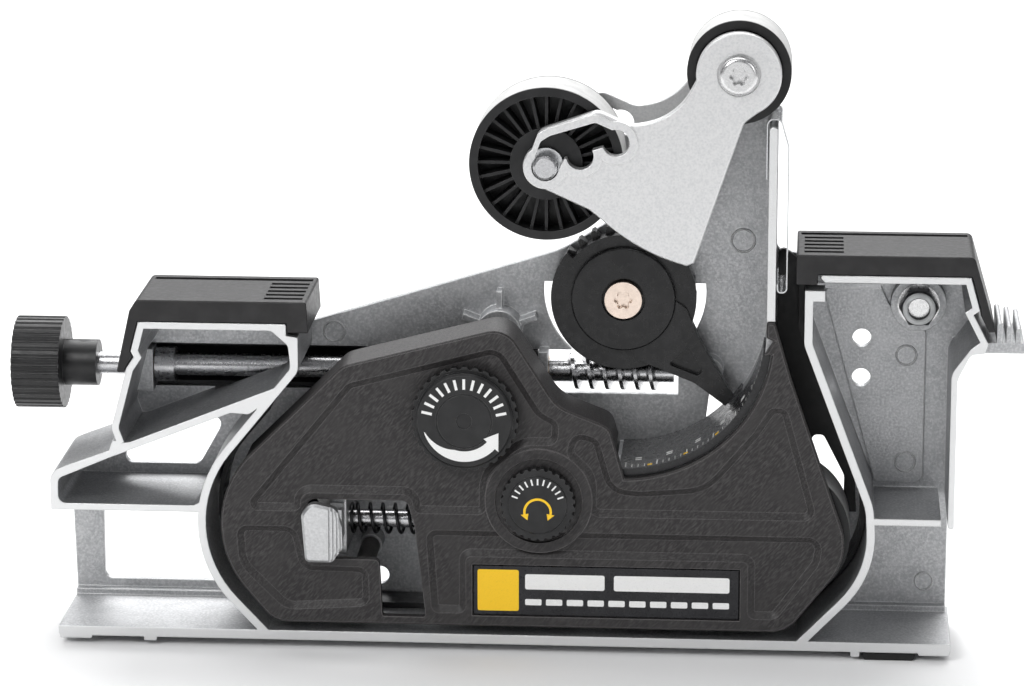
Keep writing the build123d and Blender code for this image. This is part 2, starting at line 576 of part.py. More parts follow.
def toothed_face(centre, pitch_r, tip_r, root_r, teeth, step, first):
    """Teeth on a round face, the first at a given angle in degrees, each a step on from the last."""
    face = None
    for i in range(teeth):
        angle = first + i * step
        points = []
        for radius in (root_r - 0.6, tip_r):
            half = degrees((TOOTH / 2 - (radius - pitch_r) * FLANK) / radius)
            points.append((turned(centre, radius, angle - half), turned(centre, radius, angle + half)))
        tooth = outline([points[0][0], points[1][0], points[1][1], points[0][1]])
        face = tooth if face is None else face + tooth
    return face


def angle_gear():
    step = 360 / GEAR_TEETH
    teeth = toothed_face(PIVOT, GEAR_PITCH_R, GEAR_TIP_R, GEAR_ROOT_R, GEAR_TEETH, step, -90.0)
    ring_part = slab(circle(PIVOT, GEAR_ROOT_R) + teeth, 37.2, 44.2)
    guard = circle(PIVOT, 27.6) - sector(PIVOT, 24.4, 32.0, 58.0, 142.0)
    face_part = slab(guard, 33.0, 37.2)
    hub = chamfer(front_edges(disc(PIVOT, 19.8, 30.4, 33.0)), 0.5)
    reach = sector(PIVOT, 18.0, 40.0, -117.0, -24.0)
    deep = slab((circle(PIVOT, GEAR_ROOT_R) + teeth) & reach, 44.2, 50.0)
    pointer = slab(outline([turned(PIVOT, 20.0, -2), turned(PIVOT, 24.0, -8),
                            (*turned(PIVOT, 33.0, -28), 14), turned(PIVOT, 56.6, -42.0),
                            turned(PIVOT, 56.6, -46.5), (*turned(PIVOT, 42.0, -50), 14),
                            turned(PIVOT, 24.0, -78), turned(PIVOT, 18.0, -80)]), 31.5, 36.4)
    pocket = slab(outline([(*turned(PIVOT, 30.5, -36), 1), (*turned(PIVOT, 41.0, -42.5), 1),
                           (*turned(PIVOT, 41.0, -46), 1), (*turned(PIVOT, 30.5, -56), 1)]), 31.0, 34.0)
    gear = joined([ring_part, face_part, hub, deep, pointer])
    cuts = [disc(PIVOT, 8.2, 30.0, 32.9), disc(PIVOT, 6.0 + RUN, 30.0, 45.0), pocket]
    return less(gear, cuts)


parts["angle_gear"] = angle_gear()
parts["gear_pivot_sleeve"] = ring(PIVOT, 6.0, 4.0 + RUN, 32.1, 45.0)


def torx_head_screw(centre, head_r, head_front, head_back, shank_r, shank_back, countersunk):
    """A round-headed screw with a six-lobed socket."""
    head = disc(centre, head_r, head_front, head_back)
    if not countersunk:
        head = fillet(front_edges(head), min(1.6, (head_back - head_front) * 0.45))
    socket = circle(centre, head_r * 0.36)
    for i in range(6):
        socket = socket + circle(turned(centre, head_r * 0.36, 60 * i), head_r * 0.13)
    screw = head + disc(centre, shank_r, head_back, shank_back)
    return screw - slab(socket, head_front - 1, head_front + (head_back - head_front) * 0.7)


parts["gear_pivot_screw"] = torx_head_screw(PIVOT, 7.1, 29.0, 32.0, 4.0, 53.0, True)

# --- the swing arm and the top pulley ---------------------------------------------------------------
def slot_face():
    """The three-notch slot that the idler's axle hangs in."""
    body = outline([(9.3, 188.6), (12.6, 197.8, 2), (16.0, 200.0, 2), (32.8, 205.2, 3), (44.4, 200.0, 3),
                    (45.4, 197.0), (40.3, 197.2), (32.2, 194.9, 0.4), (27.1, 192.3), (21.4, 191.4, 0.4),
                    (19.0, 187.0), (14.3, 188.1)])
    for centre in NOTCHES:
        body = body + circle(centre, 5.05)
    return body


def arm_face():
    corner = turned(AXLE, 74.1, -104.3)
    lower_arc = turned(AXLE, 74.1, -132.6)
    body = outline([(6.2, 186.0, 6), (12.0, 202.0, 5), (33.4, 209.4, 5), (46.0, 204.0, 8), (62.0, 206.6, 24),
                    (70.0, 222.0), AXLE, (93.0, 210.0), (87.2, 205.4, 3), (69.4, 152.6), corner, lower_arc,
                    (30.6, 172.2, 8), (14.3, 179.6, 6)])
    body = body + circle(AXLE, 15.7) + circle((14.3, 188.1), 8.3)
    return body - circle(AXLE, 0.5)


def swing_arm():
    lens = sector(AXLE, 60.0, 74.1, -132.6, -104.3)
    plate_face = arm_face() + lens
    front = chamfer(front_edges(slab(plate_face + circle(AXLE, 2), -1.0, 3.0)), 0.5)
    rim_face = offset(slot_face(), amount=3.0, kind=Kind.ARC) & plate_face
    rim = slab(rim_face, -1.8, 0.0)
    step = degrees(PITCH / ARM_PITCH_R)
    contact = degrees(atan2(PIVOT[1] - AXLE[1], PIVOT[0] - AXLE[0]))
    gear_step = 360 / GEAR_TEETH
    towards_arm = degrees(atan2(AXLE[1] - PIVOT[1], AXLE[0] - PIVOT[0]))
    phase = (towards_arm + 90.0) / gear_step
    past = phase - int(phase)
    teeth_phase = contact + (past - 0.5) * step
    teeth = toothed_face(AXLE, ARM_PITCH_R, ARM_PITCH_R + 1.5, ARM_PITCH_R - 1.9, 6, -step,
                         teeth_phase + step)
    rack = sector(AXLE, 60.0, ARM_PITCH_R - 1.9, -136.4, -108.0)
    rear = slab(arm_face() + rack + teeth + circle(AXLE, 2), 37.5, 41.0)
    web = slab(ribbon([(56.0, 167.0), (66.0, 172.0, 6), (73.0, 186.0, 20), (78.0, 199.0)], 3.0), 2.0, 38.0)
    arm = joined([front, rim, rear, web])
    cuts = [slab(slot_face(), -5, 45), disc(AXLE, 4.0 + 0.06, -5, 45), disc(AXLE, 7.9, -5, -0.2)]
    return less(arm, cuts)


parts["swing_arm"] = swing_arm()
parts["top_axle_bolt"] = torx_head_screw(AXLE, 7.1, -4.4, -0.25, 4.0, 53.4, False)
parts["top_axle_nut"] = slab(hexagon(AXLE, 13.0) - circle(AXLE, 4.0), PLATE_BACK, 53.0)
parts["top_axle_spacers"] = group([ring(AXLE, 6.6, 4.0, 3.05, 4.4), ring(AXLE, 6.6, 4.0, 29.6, 37.4),
                                   ring(AXLE, 6.6, 4.0, 41.05, 41.4)])


# --- rollers ----------------------------------------------------------------------------------------
def roller_core(centre, radius, hub_r, bearing_r, bore_r, ribs):
    """A moulded wheel: rim with two lips, web, hub and radial ribs, with a bearing seat at each end."""
    rim_in = radius - 3.2
    lip = 1.2
    solids = [
        ring(centre, radius - 1.2, rim_in, BELT_FRONT, BELT_BACK),
        ring(centre, radius, rim_in, BELT_FRONT, BELT_FRONT + lip),
        ring(centre, radius, rim_in, BELT_BACK - lip, BELT_BACK),
        ring(centre, rim_in + 0.2, hub_r - 0.2, BELT_MIDDLE - 1, BELT_MIDDLE + 1),
        ring(centre, hub_r, bore_r + 0.5, BELT_FRONT + 0.6, BELT_BACK - 0.6),
    ]
    rib_faces = None
    for i in range(ribs):
        angle = 360 * i / ribs
        inner, outer = turned(centre, hub_r - 0.5, angle), turned(centre, rim_in + 0.5, angle)
        side = turned((0, 0), 0.55, angle + 90)
        rib = outline([(inner[0] + side[0], inner[1] + side[1]), (outer[0] + side[0], outer[1] + side[1]),
                       (outer[0] - side[0], outer[1] - side[1]), (inner[0] - side[0], inner[1] - side[1])])
        rib_faces = rib if rib_faces is None else rib_faces + rib
    if rib_faces is not None:
        solids.append(slab(rib_faces, BELT_FRONT + 2.5, BELT_BACK - 2.5))
    seats = [disc(centre, bearing_r, BELT_FRONT + 1.6, BELT_FRONT + 7.6),
             disc(centre, bearing_r, BELT_BACK - 7.6, BELT_BACK)]
    return less(joined(solids), seats)


def roller_tire(centre, radius):
    return ring(centre, radius, radius - 1.2, BELT_FRONT + 1.2, BELT_BACK - 1.2)


def bearing_pair(centre, bearing_r, bore_r):
    return group([ring(centre, bearing_r, bore_r, BELT_FRONT + 1.6, BELT_FRONT + 7.6),
                  ring(centre, bearing_r, bore_r, BELT_BACK - 7.6, BELT_BACK - 1.6)])


parts["idler_core"] = roller_core(IDLER, IDLER_R, 13.5, 9.5, 4.5, 28)
parts["idler_tire"] = roller_tire(IDLER, IDLER_R)
parts["idler_bearings"] = bearing_pair(IDLER, 9.5, 4.5 + RUN)
parts["idler_axle"] = chamfer(front_edges(disc(IDLER, 4.5, -3.4, 44.0)), 0.8)
parts["idler_clips"] = group([ring(IDLER, 6.4, 4.5, 3.3, 4.2), ring(IDLER, 6.4, 4.5, 35.9, 36.9)])

parts["top_pulley_core"] = roller_core(AXLE, PULLEY_R, 11.5, 9.0, 4.0, 18)
parts["top_pulley_tire"] = roller_tire(AXLE, PULLEY_R)
parts["top_pulley_bearings"] = bearing_pair(AXLE, 9.0, 4.0 + RUN)

parts["tension_roller_core"] = roller_core(TENSION, PULLEY_R, 11.5, 9.0, 4.0, 18)
parts["tension_roller_tire"] = roller_tire(TENSION, PULLEY_R)
parts["tension_roller_bearings"] = bearing_pair(TENSION, 9.0, 4.0 + RUN)

DRIVE_SHAFT_R = 4.0
DRIVE_END = (3.0, 51.0, 58.4)    # radius and depths of the shaft's free end, which a coupling fits


def drive_roller_core():
    body = ring(DRIVE, DRIVE_R - 1.2, 11.0, BELT_FRONT, BELT_BACK)
    lips = [ring(DRIVE, DRIVE_R, 20.0, front, front + 1.2) for front in (BELT_FRONT, BELT_BACK - 1.2)]
    hub = ring(DRIVE, 11.5, DRIVE_SHAFT_R, BELT_FRONT + 4.0, BELT_BACK)
    holes = [disc(turned(DRIVE, 17.0, 60 * i), 3.2, 0, 40) for i in range(6)]
    return less(joined([body, hub] + lips), holes)


parts["drive_roller_core"] = drive_roller_core()
parts["drive_roller_tire"] = roller_tire(DRIVE, DRIVE_R)
parts["drive_shaft"] = (disc(DRIVE, DRIVE_SHAFT_R, BELT_FRONT + 4.0, DRIVE_END[1])
                        + chamfer(disc(DRIVE, *DRIVE_END).edges().sort_by(Axis.Y)[-1], 0.4))
parts["drive_roller_screw"] = disc(DRIVE, 5.4, BELT_FRONT + 1.6, BELT_FRONT + 4.0)
parts["drive_bearings"] = group([ring(DRIVE, 11.0, DRIVE_SHAFT_R + RUN, 33.6, 40.6),
                                 ring(DRIVE, 11.0, DRIVE_SHAFT_R + RUN, 41.0, 48.0)])
parts["bearing_retainer"] = less(ring(DRIVE, 19.0, 6.0, PLATE_BACK, PLATE_BACK + 2.0),
                                 [disc(turned(DRIVE, 15.6, 120 * i + 30), 1.5, 47, 51) for i in range(3)])
parts["retainer_screws"] = group([
    disc(turned(DRIVE, 15.6, 120 * i + 30), 2.8, PLATE_BACK + 2.0, PLATE_BACK + 4.0)
    + disc(turned(DRIVE, 15.6, 120 * i + 30), 1.5, PLATE_BACK, PLATE_BACK + 2.0) for i in range(3)])

# --- belt tension and tracking ------------------------------------------------------------------------
def tracking_yoke():
    """The block that guides the tension rod, with a tail that the tracking screw moves."""
    guide = block(GUIDE[0], GUIDE[1], 35.0, 58.6, 8.5, 25.5)
    tail = block(GUIDE[1] - 1, 19.0, 54.0, 58.6, 12.0, 22.0)
    ear = block(6.0, 18.0, 54.0, 67.0, 12.0, 22.0)
    yoke = joined([guide, tail, ear])
    return less(yoke, [
        rod_x(ROD_R + RUN, GUIDE[0] - 1, GUIDE[1] + 1, ROD_Z, BELT_MIDDLE),
        rod_z(YOKE_PIN_R + RUN, YOKE_X, 51.0, 60.0, BELT_MIDDLE),
        rod_z(YOKE_PIN_R + RUN, YOKE_X, 34.0, 37.8, BELT_MIDDLE),
        disc(TRACKING, 2.4, 10.0, 24.0),
    ])


def tension_bracket():
    """Carries the roller's axle from behind and ends in the rod's head."""
    head = block(-67.4, -61.4, 36.0, 58.0, 7.0, 36.0)
    arm = slab(outline([(-99.0, 47.2, 9), (-96.0, 57.5, 6), (-61.4, 57.5), (-61.4, 37.0), (-96.0, 37.0, 6)]),
               31.2, 36.0)
    stem = disc(TENSION, 6.4, 29.8, 31.2)
    bracket = joined([head, arm, stem])
    return less(bracket, [disc(TENSION, 4.0, 29.0, 37.0),
                          rod_x(ROD_R, -67.0, -61.0, ROD_Z, BELT_MIDDLE)])


def thumb_lever():
    pad = slab(outline([(-77.0, 55.0, 3), (-73.5, 59.6, 4), (-63.6, 57.4, 4), (-61.6, 50.0, 2),
                        (-61.4, 42.0, 2), (-65.4, 36.4, 2), (-75.6, 36.4, 2)]), -8.0, -3.4)
    pad = chamfer(front_edges(pad), 1.0)
    grooves = [block(-66.6 + 1.5 * i, -65.9 + 1.5 * i, 30.0, 62.0, -9.0, -6.9) for i in range(4)]
    neck = block(-67.2, -62.0, 44.0, 56.0, -3.8, 7.0)
    return less(pad, grooves) + neck


def spring_coil(x0, x1, z, depth, mean_r, wire_r, turns):
    """A helical spring along X."""
    length = x1 - x0 - 2 * wire_r
    spine = Helix(pitch=length / turns, height=length, radius=mean_r)
    section = Plane(origin=spine @ 0, z_dir=spine % 0) * Circle(wire_r)
    coil = sweep(section, path=spine, is_frenet=True)
    return Pos(x0 + wire_r, FRONT_Y + depth, z) * Rot(0, 90, 0) * coil


parts["tracking_yoke"] = tracking_yoke()
parts["tracking_pivot_pins"] = group([rod_z(YOKE_PIN_R, YOKE_X, 51.2, 68.0, BELT_MIDDLE),
                                      rod_z(YOKE_PIN_R, YOKE_X, 26.4, 37.4, BELT_MIDDLE)])
parts["tension_bracket"] = tension_bracket()
parts["tension_rod"] = rod_x(ROD_R, -67.0, -4.0, ROD_Z, BELT_MIDDLE)
parts["tension_axle"] = disc(TENSION, 4.0, 5.2, 37.8)
parts["thumb_lever"] = thumb_lever()
parts["tension_spring"] = spring_coil(-61.2, -33.2, ROD_Z, BELT_MIDDLE, 5.4, 0.65, 6)

parts["tracking_screw"] = disc(TRACKING, 2.0, -4.0, 26.0) + disc(TRACKING, 3.8, 3.0, 5.0)


def tracking_knob():
    body = slab(ribbed_outline(TRACKING, 14.0, 28, 0.8), -6.6, -1.9)
    face = chamfer(front_edges(disc(TRACKING, 11.2, -7.4, -6.6)), 0.4)
    return less(body + face, [disc(TRACKING, 2.0, -4.0, 0)])


def tighten_knob():
    skirt = slab(ribbed_outline(TIGHTEN, 20.0, 30, 0.9), -5.0, -1.4)
    face = chamfer(front_edges(disc(TIGHTEN, 18.2, -8.0, -5.0)), 0.8)
    groove = ring(TIGHTEN, 10.6, 10.0, -9.0, -7.6)
    return less(skirt + face, [groove, disc(TIGHTEN, 3.0, -9.0, -7.5), disc(TIGHTEN, 4.0, -6.0, 0)])


parts["tracking_knob"] = tracking_knob()
parts["tighten_knob"] = tighten_knob()
parts["tighten_stud"] = disc(TIGHTEN, 4.0, -6.0, 34.0)
parts["tighten_washer"] = ring(TIGHTEN, 7.5, 4.05, -1.35, -1.0)

# --- the accessory bolt in the right cell ---------------------------------------------------------------
parts["side_bolt"] = joined([slab(hexagon(SIDE_BOLT, 13.0), 48.0, 53.0), disc(SIDE_BOLT, 4.0, 33.4, 48.0)])
parts["side_washer"] = ring(SIDE_BOLT, 8.0, 4.1, 38.2, 39.4)
parts["side_nut"] = (slab(hexagon(SIDE_BOLT, 13.0), 32.6, 38.2) + disc(SIDE_BOLT, 6.4, 31.4, 32.6)
                     - disc(SIDE_BOLT, 4.0, 31.0, 39.0))

# --- files ----------------------------------------------------------------------------------------------
os.makedirs("parts", exist_ok=True)
for name, shape in parts.items():
    export_step(shape, f"parts/{name}.step")
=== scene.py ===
"""The belt sharpening head: finishes for its CAD parts, and the printed and cast detail on them."""
from math import cos, pi, radians, sin

import bmesh
import bpy
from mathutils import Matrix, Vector


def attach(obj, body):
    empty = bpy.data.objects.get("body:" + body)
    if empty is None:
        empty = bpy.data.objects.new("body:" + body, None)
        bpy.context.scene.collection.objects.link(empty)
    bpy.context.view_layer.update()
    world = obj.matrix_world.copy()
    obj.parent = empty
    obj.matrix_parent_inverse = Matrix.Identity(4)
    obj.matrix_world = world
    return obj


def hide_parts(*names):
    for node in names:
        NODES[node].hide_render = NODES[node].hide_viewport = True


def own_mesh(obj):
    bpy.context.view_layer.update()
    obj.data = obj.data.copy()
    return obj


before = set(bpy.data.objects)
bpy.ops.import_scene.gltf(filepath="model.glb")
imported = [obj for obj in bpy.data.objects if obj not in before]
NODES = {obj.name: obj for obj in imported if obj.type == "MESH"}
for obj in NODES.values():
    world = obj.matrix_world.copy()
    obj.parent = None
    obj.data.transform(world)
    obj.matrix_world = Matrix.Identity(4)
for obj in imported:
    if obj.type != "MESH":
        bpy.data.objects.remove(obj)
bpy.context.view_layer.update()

MM = 0.001
FRONT = -27.35                       # Y of the front edges of the casting's walls, mm
TIGHTEN = (-15.4, 92.6)              # the two knobs on the cover, and the bolt in the right cell
TRACKING = (12.1, 60.4)
SIDE_BOLT = (153.4, 129.0)
ARC_CENTRE, ARC_FACE_R = (43.4, 125.0), 52.4
TIGHTEN_FACE, TRACKING_FACE, LABEL_FACE = -8.0, -7.4, -0.4   # depths of the printed faces
LABEL = (-11.6, 16.2, 33.6)          # the label film's left edge, bottom and top
INK = 0.06                           # thickness of a printed mark
SUNK = 0.02                          # how far a printed mark reaches into its face
WITNESS_MARKS = ((-69.6, 113.3, 45.0, 4.0), (86.8, 151.4, 45.0, 4.4), (-127.9, 117.5, 45.0, 3.6),
                 (149.3, 108.0, 43.6, 3.8), (149.7, 66.0, 43.6, 3.8), (158.0, 18.0, 45.0, 3.4),
                 (71.5, 190.0, 45.0, 4.4))   # X, Z, depth and radius
SPRING_X = (-61.2, -33.2)            # the tension spring's ends, the second against the yoke
SPRING_Z, SPRING_DEPTH = 47.2, 17.0
SPRING_R, SPRING_WIRE_R = 5.4, 0.65


def place(x, depth, z):
    """A point in metres, from X, the depth behind the walls' front edges, and Z in millimetres."""
    return Vector((x * MM, (FRONT + depth) * MM, z * MM))


# --- camera, light and stage ------------------------------------------------------------------------
def aim(thing, target):
    thing.rotation_mode = "QUATERNION"
    thing.rotation_quaternion = (target - thing.location).to_track_quat("-Z", "Y")


def make_camera():
    data = bpy.data.cameras.new("camera")
    data.lens = 150.0
    data.sensor_width = 36.0
    data.clip_start, data.clip_end = 0.05, 60.0
    camera = bpy.data.objects.new("camera", data)
    bpy.context.scene.collection.objects.link(camera)
    camera.location = place(111.0, -1537.0, 504.0)
    aim(camera, place(2.0, 0.0, 121.0))
    bpy.context.scene.camera = camera


def area_light(name, position, target, size, power, shape_ratio=1.0):
    data = bpy.data.lights.new(name, "AREA")
    data.shape = "RECTANGLE"
    data.size, data.size_y = size, size * shape_ratio
    data.energy = power
    light = bpy.data.objects.new(name, data)
    bpy.context.scene.collection.objects.link(light)
    light.location = Vector(position)
    aim(light, Vector(target))


def make_stage():
    centre = (0.0, 0.0, 0.10)
    area_light("key_softbox", (-0.9, -1.5, 1.5), centre, 1.0, 24.0)
    area_light("fill_softbox", (1.3, -1.3, 0.8), centre, 0.8, 5.0)
    area_light("top_softbox", (0.1, 0.35, 1.5), centre, 0.9, 11.0)
    area_light("rim_softbox", (-1.3, 0.8, 0.7), centre, 0.7, 4.0)
    area_light("floor_wash", (0.0, 3.2, 2.6), (0.0, 3.0, 0.0), 4.0, 210.0)
    world = bpy.data.worlds.new("studio")
    world.use_nodes = True
    background = world.node_tree.nodes["Background"]
    background.inputs["Color"].default_value = (0.96, 0.97, 1.0, 1.0)
    background.inputs["Strength"].default_value = 0.27
    bpy.context.scene.world = world
    mesh = bpy.data.meshes.new("floor")
    edge = 7.0
    corners = [(-edge, -edge, 0), (edge, -edge, 0), (edge, edge, 0), (-edge, edge, 0)]
    mesh.from_pydata(corners, [], [(0, 1, 2, 3)])
    floor = bpy.data.objects.new("floor", mesh)
    bpy.context.scene.collection.objects.link(floor)
    material = bpy.data.materials.new("floor_paper")
    material.use_nodes = True
    shader = material.node_tree.nodes["Principled BSDF"]
    shader.inputs["Base Color"].default_value = (0.90, 0.90, 0.90, 1.0)
    shader.inputs["Roughness"].default_value = 0.85
    mesh.materials.append(material)


make_camera()
make_stage()
bpy.context.scene.view_settings.view_transform = "Standard"


# --- finishes ---------------------------------------------------------------------------------------
class Finish:
    """A procedural surface. Masks are sockets that run from 0 to 1, and layers are mixed in by mask."""

    def __init__(self, name, color, roughness, metallic=0.0, edge=0.25, specular=0.5):
        self.material = bpy.data.materials.new(name)
        self.material.use_nodes = True
        self.tree = self.material.node_tree
        self.shader = self.tree.nodes["Principled BSDF"]
        self.shader.inputs["Metallic"].default_value = metallic
        self.shader.inputs["Specular IOR Level"].default_value = specular
        self.color, self.roughness = (*color, 1.0), roughness
        self.shader.inputs["Base Color"].default_value = self.color
        self.shader.inputs["Roughness"].default_value = roughness
        self.coords = self.add("ShaderNodeTexCoord").outputs["Object"]
        bevel = self.add("ShaderNodeBevel", samples=4)
        bevel.inputs["Radius"].default_value = edge * MM
        self.normal = bevel.outputs["Normal"]
        self.bevel = bevel.outputs["Normal"]
        self.join(self.normal, self.shader.inputs["Normal"])

    def add(self, kind, **settings):
        node = self.tree.nodes.new(kind)
        for key, value in settings.items():
            setattr(node, key, value)
        return node

    def join(self, source, target):
        if isinstance(source, (int, float)):
            target.default_value = source
        else:
            self.tree.links.new(source, target)

    def ramp(self, source, low, high):
        node = self.add("ShaderNodeMapRange")
        self.join(source, node.inputs["Value"])
        node.inputs["From Min"].default_value = low
        node.inputs["From Max"].default_value = high
        return node.outputs["Result"]

    def noise(self, size, detail=3.0, low=0.35, high=0.65, stretch=(1, 1, 1), turn=(0, 0, 0)):
        """A cloudy mask with features of a size in millimetres, stretched along each axis."""
        mapping = self.add("ShaderNodeMapping", vector_type="TEXTURE")
        self.join(self.coords, mapping.inputs["Vector"])
        mapping.inputs["Rotation"].default_value = [radians(a) for a in turn]
        mapping.inputs["Scale"].default_value = stretch
        node = self.add("ShaderNodeTexNoise")
        self.join(mapping.outputs["Vector"], node.inputs["Vector"])
        node.inputs["Scale"].default_value = 1.0 / (size * MM)
        node.inputs["Detail"].default_value = detail
        return self.ramp(node.outputs["Fac"], low, high)

    def edges(self, low=0.004, high=0.12):
        """A mask of the rims and corners."""
        geometry = self.add("ShaderNodeNewGeometry")
        dot = self.add("ShaderNodeVectorMath", operation="DOT_PRODUCT")
        self.join(self.bevel, dot.inputs[0])
        self.join(geometry.outputs["True Normal"], dot.inputs[1])
        return self.ramp(dot.outputs["Value"], 1.0 - low, 1.0 - high)

    def facing(self, axis, low, high):
        """A mask of the faces that look along one of the part's own axes."""
        geometry = self.add("ShaderNodeTexCoord")
        dot = self.add("ShaderNodeVectorMath", operation="DOT_PRODUCT")
        self.join(geometry.outputs["Normal"], dot.inputs[0])
        dot.inputs[1].default_value = axis
        return self.ramp(dot.outputs["Value"], low, high)

    def before(self, depth):
        """A mask of what lies in front of a depth in millimetres."""
        split = self.add("ShaderNodeSeparateXYZ")
        self.join(self.coords, split.inputs[0])
        return self.ramp(split.outputs["Y"], (FRONT + depth + 0.1) * MM, (FRONT + depth) * MM)

    def times(self, first, second):
        node = self.add("ShaderNodeMath", operation="MULTIPLY", use_clamp=True)
        self.join(first, node.inputs[0])
        self.join(second, node.inputs[1])
        return node.outputs["Value"]

    def tint(self, mask, color):
        """Another colour where the mask is 1."""
        node = self.add("ShaderNodeMix", data_type="RGBA")
        self.join(mask, node.inputs["Factor"])
        if isinstance(self.color, tuple):
            node.inputs["A"].default_value = self.color
        else:
            self.join(self.color, node.inputs["A"])
        node.inputs["B"].default_value = (*color, 1.0)
        self.color = node.outputs["Result"]
        self.join(self.color, self.shader.inputs["Base Color"])
        return self

    def polish(self, mask, roughness):
        """Another roughness where the mask is 1."""
        node = self.add("ShaderNodeMix", data_type="FLOAT")
        self.join(mask, node.inputs["Factor"])
        self.join(self.roughness, node.inputs["A"])
        node.inputs["B"].default_value = roughness
        self.roughness = node.outputs["Result"]
        self.join(self.roughness, self.shader.inputs["Roughness"])
        return self

    def bump(self, height, depth, strength=1.0):
        """Raises the surface by a depth in millimetres where the mask is 1."""
        node = self.add("ShaderNodeBump")
        node.inputs["Strength"].default_value = strength
        node.inputs["Distance"].default_value = depth * MM
        self.join(height, node.inputs["Height"])
        self.join(self.normal, node.inputs["Normal"])
        self.normal = node.outputs["Normal"]
        self.join(self.normal, self.shader.inputs["Normal"])
        return self


def cast_finish():
    """Bead-blasted die casting, with its front-facing wall edges painted bright as a painted highlight of
    the front light.
    """
    s = Finish("cast_aluminium", (0.45, 0.455, 0.465), 0.48, metallic=0.90, edge=0.7)
    s.tint(s.noise(9.0, 4.0), (0.38, 0.385, 0.395))
    s.tint(s.noise(0.9, 5.0, 0.42, 0.70), (0.58, 0.585, 0.59))
    # Faces that look to the front, at the walls' front edges: painted lighter as a painted highlight of the
    # front light, and given a smoother roughness.
    lit_front_faces = s.times(s.facing((0, -1, 0), 0.90, 0.98), s.before(0.6))
    s.tint(lit_front_faces, (0.74, 0.745, 0.745))
    # Rims and corners lighter: partly rubbed wear, partly a painted edge highlight.
    s.tint(s.edges(), (0.78, 0.785, 0.785))
    s.polish(s.noise(2.0, 3.0), 0.42)
    s.polish(lit_front_faces, 0.36)
    s.bump(s.noise(0.55, 4.0, 0.2, 0.8), 0.09, 0.8)
    s.bump(s.noise(4.5, 2.0, 0.2, 0.8), 0.10, 0.35)
    return s.material


def arm_finish():
    """The same casting, coloured nearly white: partly its finer blast, partly a painted highlight of the
    front light.
    """
    s = Finish("arm_aluminium", (0.72, 0.72, 0.72), 0.46, metallic=0.80, edge=0.6)
    s.tint(s.noise(0.8, 4.0, 0.4, 0.7), (0.62, 0.625, 0.63))
    # Rims and corners nearly white: partly rubbed wear, partly a painted edge highlight.
    s.tint(s.edges(), (0.93, 0.93, 0.93))
    s.polish(s.noise(1.4), 0.38)
    s.bump(s.noise(0.45, 4.0, 0.2, 0.8), 0.05, 0.7)
    return s.material


def cover_finish():
    """Filled black plastic with a coarse, diagonally scuffed texture, its rims lighter: partly rubbed wear,
    partly a painted edge highlight.
    """
    s = Finish("cover_plastic", (0.019, 0.0175, 0.018), 0.50, edge=0.6, specular=0.36)
    streaks = s.noise(0.6, 5.0, 0.42, 0.75, stretch=(1, 1, 4), turn=(0, 42, 0))
    s.tint(streaks, (0.060, 0.056, 0.056))
    s.tint(s.noise(14.0, 4.0, 0.45, 0.75), (0.032, 0.030, 0.030))
    # Rims lighter: partly rubbed wear, partly a painted edge highlight.
    s.tint(s.edges(0.01, 0.2), (0.20, 0.19, 0.19))
    s.polish(streaks, 0.42)
    s.bump(s.noise(0.45, 5.0, 0.2, 0.8, stretch=(1, 1, 3), turn=(0, 42, 0)), 0.07, 0.7)
    s.bump(s.noise(0.30, 2.0, 0.2, 0.8), 0.03, 0.6)
    return s.material


def plastic(name, color, roughness=0.42, grain=0.35, edge_wear_and_highlight=0.10, edge=0.35):
    """Moulded plastic with a fine grain, paler in patches along its edges: partly rubbed wear, partly a
    painted edge highlight.
    """
    s = Finish(name, color, roughness, edge=edge, specular=0.36)
    s.tint(s.noise(6.0, 4.0, 0.4, 0.75), tuple(c * 1.5 + 0.004 for c in color))
    # Edges paler in patches: partly rubbed wear, partly a painted edge highlight.
    s.tint(s.times(s.edges(0.02, 0.25), s.noise(1.6, 3.0, 0.3, 0.6)), (edge_wear_and_highlight, edge_wear_and_highlight, edge_wear_and_highlight))
    s.polish(s.noise(2.2, 4.0, 0.4, 0.7), roughness - 0.12)
    s.bump(s.noise(grain, 3.0, 0.2, 0.8), 0.03, 0.6)
    return s.material


def rubber(name, color, grain=0.5):
    """Ground rubber, with a slightly dusty skin."""
    s = Finish(name, color, 0.74, edge=0.3, specular=0.3)
    s.tint(s.noise(5.0, 4.0, 0.4, 0.7), tuple(c * 0.86 for c in color))
    s.tint(s.noise(0.6, 3.0, 0.5, 0.8), tuple(min(1.0, c * 1.15) for c in color))
    s.bump(s.noise(grain, 4.0, 0.2, 0.8), 0.05, 0.8)
    return s.material


def metal(name, color, roughness=0.24, stretch=(1, 1, 1), size=0.5, stain=0.78):
    """Turned, ground or plated metal, with tool lines along the stretched axis."""
    s = Finish(name, color, roughness, metallic=1.0, edge=0.25)
    lines = s.noise(size, 4.0, 0.3, 0.7, stretch=stretch)
    s.tint(lines, tuple(c * stain for c in color))
    s.tint(s.noise(5.0, 4.0, 0.5, 0.8), tuple(c * 0.86 for c in color))
    s.polish(s.noise(1.2, 4.0, 0.4, 0.7), roughness + 0.12)
    s.bump(lines, 0.012, 0.7)
    return s.material


def ink(name, color, roughness=0.5):
    """Screen-printed ink with faint pinholes."""
    s = Finish(name, color, roughness, edge=0.05)
    s.tint(s.noise(0.35, 3.0, 0.55, 0.85), tuple(c * 0.8 for c in color))
    s.bump(s.noise(0.3, 3.0, 0.2, 0.8), 0.01, 0.5)
    return s.material


